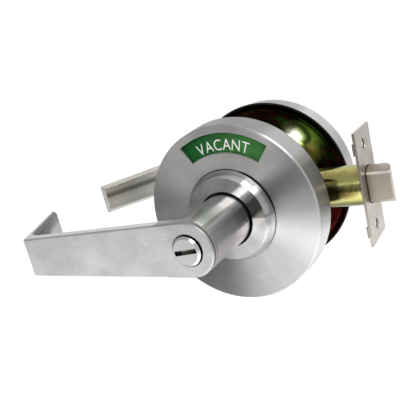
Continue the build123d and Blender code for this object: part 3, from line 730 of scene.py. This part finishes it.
STEEL_DARK = (0.30, 0.295, 0.29)
STEEL_LIGHT = (0.48, 0.475, 0.47)
PRINT_WHITE = (0.97, 0.98, 0.94)
PRINT_ROUGHNESS = 0.5
PRINT_PLACES = (-17, 22)


def plain_metal(name, dark, light, roughness):
    """Metal with a fine grain between two tones."""
    paint = Paint(name)
    grain = paint.noise(*paint.position(), 900, 3, 0.6)
    colour = paint.ramp(grain, (0.35, dark), (0.65, light))
    paint.bump(grain, 0.01, 0.3)
    return paint.finish(colour, paint.span(grain, 0.3, 0.7, roughness + 0.04, roughness - 0.04))


def printed(name, left, right):
    """A printed foil with a slight mottle, a little lighter to one side."""
    paint = Paint(name)
    x, y, z = paint.position()
    mottle = paint.noise(x, y, z, 900, 2)
    place = paint.plus(paint.along(x, *PRINT_PLACES), paint.times(mottle, 0.3))
    colour = paint.ramp(place, (0.15, left), (1.0, right))
    return paint.finish(colour, PRINT_ROUGHNESS, metallic=0.0, Specular_IOR_Level=0.12)


def clear_plastic():
    """A thin clear window that hardly mirrors its surroundings."""
    paint = Paint("clear_window")
    haze = paint.noise(*paint.position(), 300, 2)
    return paint.finish(
        (0.99, 1.0, 0.99, 1.0), paint.span(haze, 0.3, 0.7, 0.0, 0.03), metallic=0.0,
        Transmission_Weight=1.0, IOR=1.12,
    )


def make_materials():
    """Each material with the nodes that wear it."""
    return (
        (lever_steel(), ("outside_lever", "inside_lever")),
        (rose_steel(), ("outside_rose", "inside_rose")),
        (turn_steel(), ("coin_turn", "turn_button")),
        (clear_plastic(), ("window_lens",)),
        (plain_metal("disc_metal", STEEL_DARK, STEEL_LIGHT, 0.40), ("indicator_disc",)),
        (printed("green_print", (0.008, 0.110, 0.020), (0.050, 0.20, 0.050)), ("vacant_foil",)),
        (printed("red_print", (0.40, 0.015, 0.015), (0.48, 0.03, 0.03)), ("occupied_foil",)),
        (plating_and_painted_sheen(), ("inside_mounting_plate",)),
        (gold_plating(), ("latch_tube",)),
        (faceplate_steel(), ("latch_faceplate",)),
        (latchbolt_metal(), ("latchbolt",)),
        (
            plain_metal("zinc_plating", (0.34, 0.33, 0.30), (0.52, 0.50, 0.46), 0.34),
            ("outside_mounting_plate", "through_bolts", "outside_hub", "inside_hub"),
        ),
        (
            plain_metal("drum_plating", (0.30, 0.28, 0.20), (0.48, 0.46, 0.36), 0.30),
            ("chassis_housing",),
        ),
        (
            plain_metal("bare_steel", STEEL_DARK, STEEL_LIGHT, 0.36),
            ("retractor_frame", "retractor", "outside_spindle", "inside_spindle",
             "outside_spring_driver", "inside_spring_driver", "lock_bar",
             "indicator_driver_pin", "latch_tail"),
        ),
        (
            plain_metal("spring_wire", (0.20, 0.20, 0.20), (0.34, 0.34, 0.34), 0.30),
            ("outside_return_spring", "inside_return_spring", "retractor_springs",
             "latch_spring", "turn_clips"),
        ),
        # the catches are near black, as painted shade in the pinholes where their ends show
        (
            plain_metal("catch_steel", (0.02, 0.02, 0.02), (0.04, 0.04, 0.04), 0.50),
            ("outside_lever_catch", "inside_lever_catch"),
        ),
    )


def dress_nodes():
    for material, names in make_materials():
        for name in names:
            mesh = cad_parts[name].data
            mesh.materials.clear()
            mesh.materials.append(material)


# The words in the indicator, one raised letter at a time round the lever axis: each word with
# the angle of its middle, the step from letter to letter in degrees, and its slot
WORDS = (("VACANT", 85.7, 8.0, "green_foil"), ("OCCUPIED", -5.6, 6.9, "red_foil"))
WORD_RADIUS = 31.7 * MM
WORD_DEPTH = 28.27 * MM
LETTER_HEIGHT = 5.6 * MM
LETTER_WIDTH = 0.84
LETTER_THICKNESS = 0.04 * MM
FONT_CAP_HEIGHT = 0.73
NARROW_STEP = 0.5


def letter(character, angle, name, material):
    """A letter that stands on the arc at an angle, facing the outside."""
    text = bpy.data.curves.new(name, "FONT")
    text.body = character
    text.align_x = "CENTER"
    text.size = LETTER_HEIGHT / FONT_CAP_HEIGHT
    text.extrude = LETTER_THICKNESS / 2
    text.resolution_u = 4
    text.materials.append(material)
    piece = bpy.data.objects.new(name, text)
    bpy.context.scene.collection.objects.link(piece)
    outward = Vector((cos(radians(angle)), 0, sin(radians(angle))))
    along = Vector((sin(radians(angle)), 0, -cos(radians(angle))))
    place = WORD_RADIUS * outward - WORD_DEPTH * Vector((0, 1, 0))
    facing = Matrix((along, outward, Vector((0, -1, 0)))).transposed().to_4x4()
    size = Matrix.Diagonal((LETTER_WIDTH, 1, 1, 1))
    piece.matrix_world = Matrix.Translation(place) @ facing @ size
    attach(piece, "indicator")
    return piece


def write_word(word, middle, step, slot, material):
    """The letters one step apart; an I takes half a step."""
    advances = [NARROW_STEP if character == "I" else 1.0 for character in word]
    for index, character in enumerate(word):
        before = sum(advances[:index]) + advances[index] / 2
        angle = middle - (before - sum(advances) / 2) * step
        name = f"{word.lower()}_{index}_{character.lower()}"
        piece = letter(character, angle, name, material)


def write_words():
    white = printed("white_print", PRINT_WHITE, PRINT_WHITE)
    for word in WORDS:
        write_word(*word, white)


# The room, as gloss sees it: a bright table and back, darker in front and to the left, darkest
# straight ahead, so that the metal has something to mirror
TABLE_LEVEL = 1.05
ROOM_BACK = 0.86
# Its patches: azimuth and elevation of the middle, the cosines of the angles from it at which
# the patch begins and is whole, and how much it changes the level
ROOM_FRONT = (-35, 0, -0.35, 0.45, 0.42)
ROOM_AHEAD = (8, -6, 0.70, 0.93, 1.0)
ROOM_BEHIND = (-155, 0, 0.6, 0.9, 0.50)
TABLE_FRONT = (15, -52, 0.72, 0.92, 0.92)
TABLE_LEFT = (-55, -40, 0.89, 0.97, 0.40)
TABLE_RIGHT = (88, -14, 0.88, 0.97, 0.60)
ROOM_AHEAD_DARKER = 0.24
# Heights, as the sine of the elevation: where the wall begins, how much lower it does so
# straight ahead, and the band along the horizon behind
WALL_START = (-0.25, -0.14)
WALL_LOWER_AHEAD = 0.16
BAND_FOOT = (-0.38, -0.26)
BAND_TOP = (-0.10, 0.06)

WHITE = (1.0, 1.0, 1.0, 1.0)
SOFT_LIGHT = 0.62
FLOOR_HEIGHT = -0.22
FLOOR_SIZE = 12.0
FLOOR_GLOW = 0.42


class Room(Nodes):
    """Nodes that work out how bright the room is in a direction, and shaders to show it."""

    def patch(self, direction, azimuth, elevation, begins, whole, amount):
        middle = self.add("ShaderNodeVectorMath", operation="DOT_PRODUCT")
        self.feed_all(middle, direction, toward(radians(azimuth), radians(elevation)))
        return self.span(middle.outputs["Value"], begins, whole, 0.0, amount)

    def level(self, direction):
        """How bright the room is in a direction from the object."""
        split = self.add("ShaderNodeSeparateXYZ")
        self.feed(split.inputs[0], direction)
        height = split.outputs[2]
        ahead = self.patch(direction, *ROOM_AHEAD)
        darker = self.plus(
            self.patch(direction, *ROOM_FRONT), self.times(ahead, ROOM_AHEAD_DARKER)
        )
        wall = self.minus(ROOM_BACK, darker)
        brighter = self.plus(self.patch(direction, *TABLE_FRONT), TABLE_LEVEL)
        darker = self.plus(
            self.patch(direction, *TABLE_LEFT), self.patch(direction, *TABLE_RIGHT)
        )
        table = self.minus(brighter, darker)
        start = self.plus(height, self.times(ahead, WALL_LOWER_AHEAD))
        above = self.span(start, *WALL_START)
        mixed = self.plus(table, self.times(above, self.minus(wall, table)))
        band = self.times(self.span(height, *BAND_FOOT), self.span(height, *BAND_TOP, 1.0, 0.0))
        return self.minus(mixed, self.times(band, self.patch(direction, *ROOM_BEHIND)))

    def shader(self, kind, strength):
        node = self.add(kind)
        self.feed(node.inputs["Color"], WHITE)
        self.feed(node.inputs["Strength"], strength)
        return node.outputs[0]

    def mix(self, factor, first, second):
        return self.feed_all(self.add("ShaderNodeMixShader"), factor, first, second)


def set_world():
    """White to the camera and through glass, soft as light, and a studio room in gloss."""
    world = bpy.data.worlds.new("studio")
    bpy.context.scene.world = world
    world.use_nodes = True
    world.node_tree.nodes.clear()
    room = Room(world.node_tree)
    level = room.level(room.add("ShaderNodeTexCoord").outputs["Generated"])
    soft, white, gloss = (
        room.shader("ShaderNodeBackground", strength) for strength in (SOFT_LIGHT, 1.0, level)
    )
    ray = room.add("ShaderNodeLightPath").outputs
    lit = room.mix(ray["Is Glossy Ray"], soft, gloss)
    seen = room.most(ray["Is Camera Ray"], ray["Is Transmission Ray"])
    output = room.add("ShaderNodeOutputWorld")
    room.feed(output.inputs["Surface"], room.mix(seen, lit, white))


def floor_material():
    """White as seen, with the shadow kept; in gloss it is the table of the room."""
    paint = Paint("floor")
    x, y, z = paint.position()
    mottle = paint.noise(x, y, z, 3, 1)
    colour = paint.ramp(mottle, (0.0, (0.95, 0.95, 0.95)), (1.0, (0.97, 0.97, 0.97)))
    paint.finish(colour, 1.0, metallic=0.0, Specular_IOR_Level=0.0)
    room = Room(paint.material.node_tree)
    ray = room.add("ShaderNodeLightPath").outputs
    glow = room.shader("ShaderNodeEmission", room.times(ray["Is Camera Ray"], FLOOR_GLOW))
    seen = room.feed_all(room.add("ShaderNodeAddShader"), paint.shader.outputs[0], glow)
    direction = room.feed_all(
        room.add("ShaderNodeVectorMath", operation="NORMALIZE"), paint.vector(x, y, FLOOR_HEIGHT)
    )
    table = room.shader("ShaderNodeEmission", room.level(direction))
    output = next(node for node in paint.nodes if node.type == "OUTPUT_MATERIAL")
    room.feed(output.inputs["Surface"], room.mix(ray["Is Glossy Ray"], seen, table))
    return paint.material


def set_stage():
    floor = bpy.data.meshes.new("floor")
    half = FLOOR_SIZE / 2
    corners = [(-half, -half, 0), (half, -half, 0), (half, half, 0), (-half, half, 0)]
    floor.from_pydata(corners, [], [(0, 1, 2, 3)])
    floor.materials.append(floor_material())
    ground = bpy.data.objects.new("floor", floor)
    ground.location.z = FLOOR_HEIGHT
    bpy.context.scene.collection.objects.link(ground)


# Lamps: azimuth and elevation in degrees, distance and size in metres, and radiance
LAMPS = (
    ("key", 48, 46, 1.1, (0.80, 0.50), 2.6),
    ("strip", 0, 28, 1.0, (0.40, 0.18), 3.0),
    ("rim", 84, 40, 1.0, (0.22, 0.20), 3.4),
    ("rim above", 78, 62, 1.0, (0.20, 0.17), 3.4),
)


def softbox(name, azimuth, elevation, distance, size, radiance):
    """A soft lamp that faces the object from a direction, as bright as it looks in a mirror."""
    lamp = bpy.data.lights.new(name, "AREA")
    lamp.shape = "RECTANGLE"
    lamp.size, lamp.size_y = size
    lamp.energy = radiance * pi * size[0] * size[1]
    holder = bpy.data.objects.new(name, lamp)
    place = distance * toward(radians(azimuth), radians(elevation))
    holder.location = place
    holder.rotation_euler = (-place).to_track_quat("-Z", "Y").to_euler()
    bpy.context.scene.collection.objects.link(holder)


set_camera()
dress_nodes()
write_words()
set_world()
set_stage()
for lamp in LAMPS:
    softbox(*lamp)
bpy.context.scene.view_settings.view_transform = "Standard"
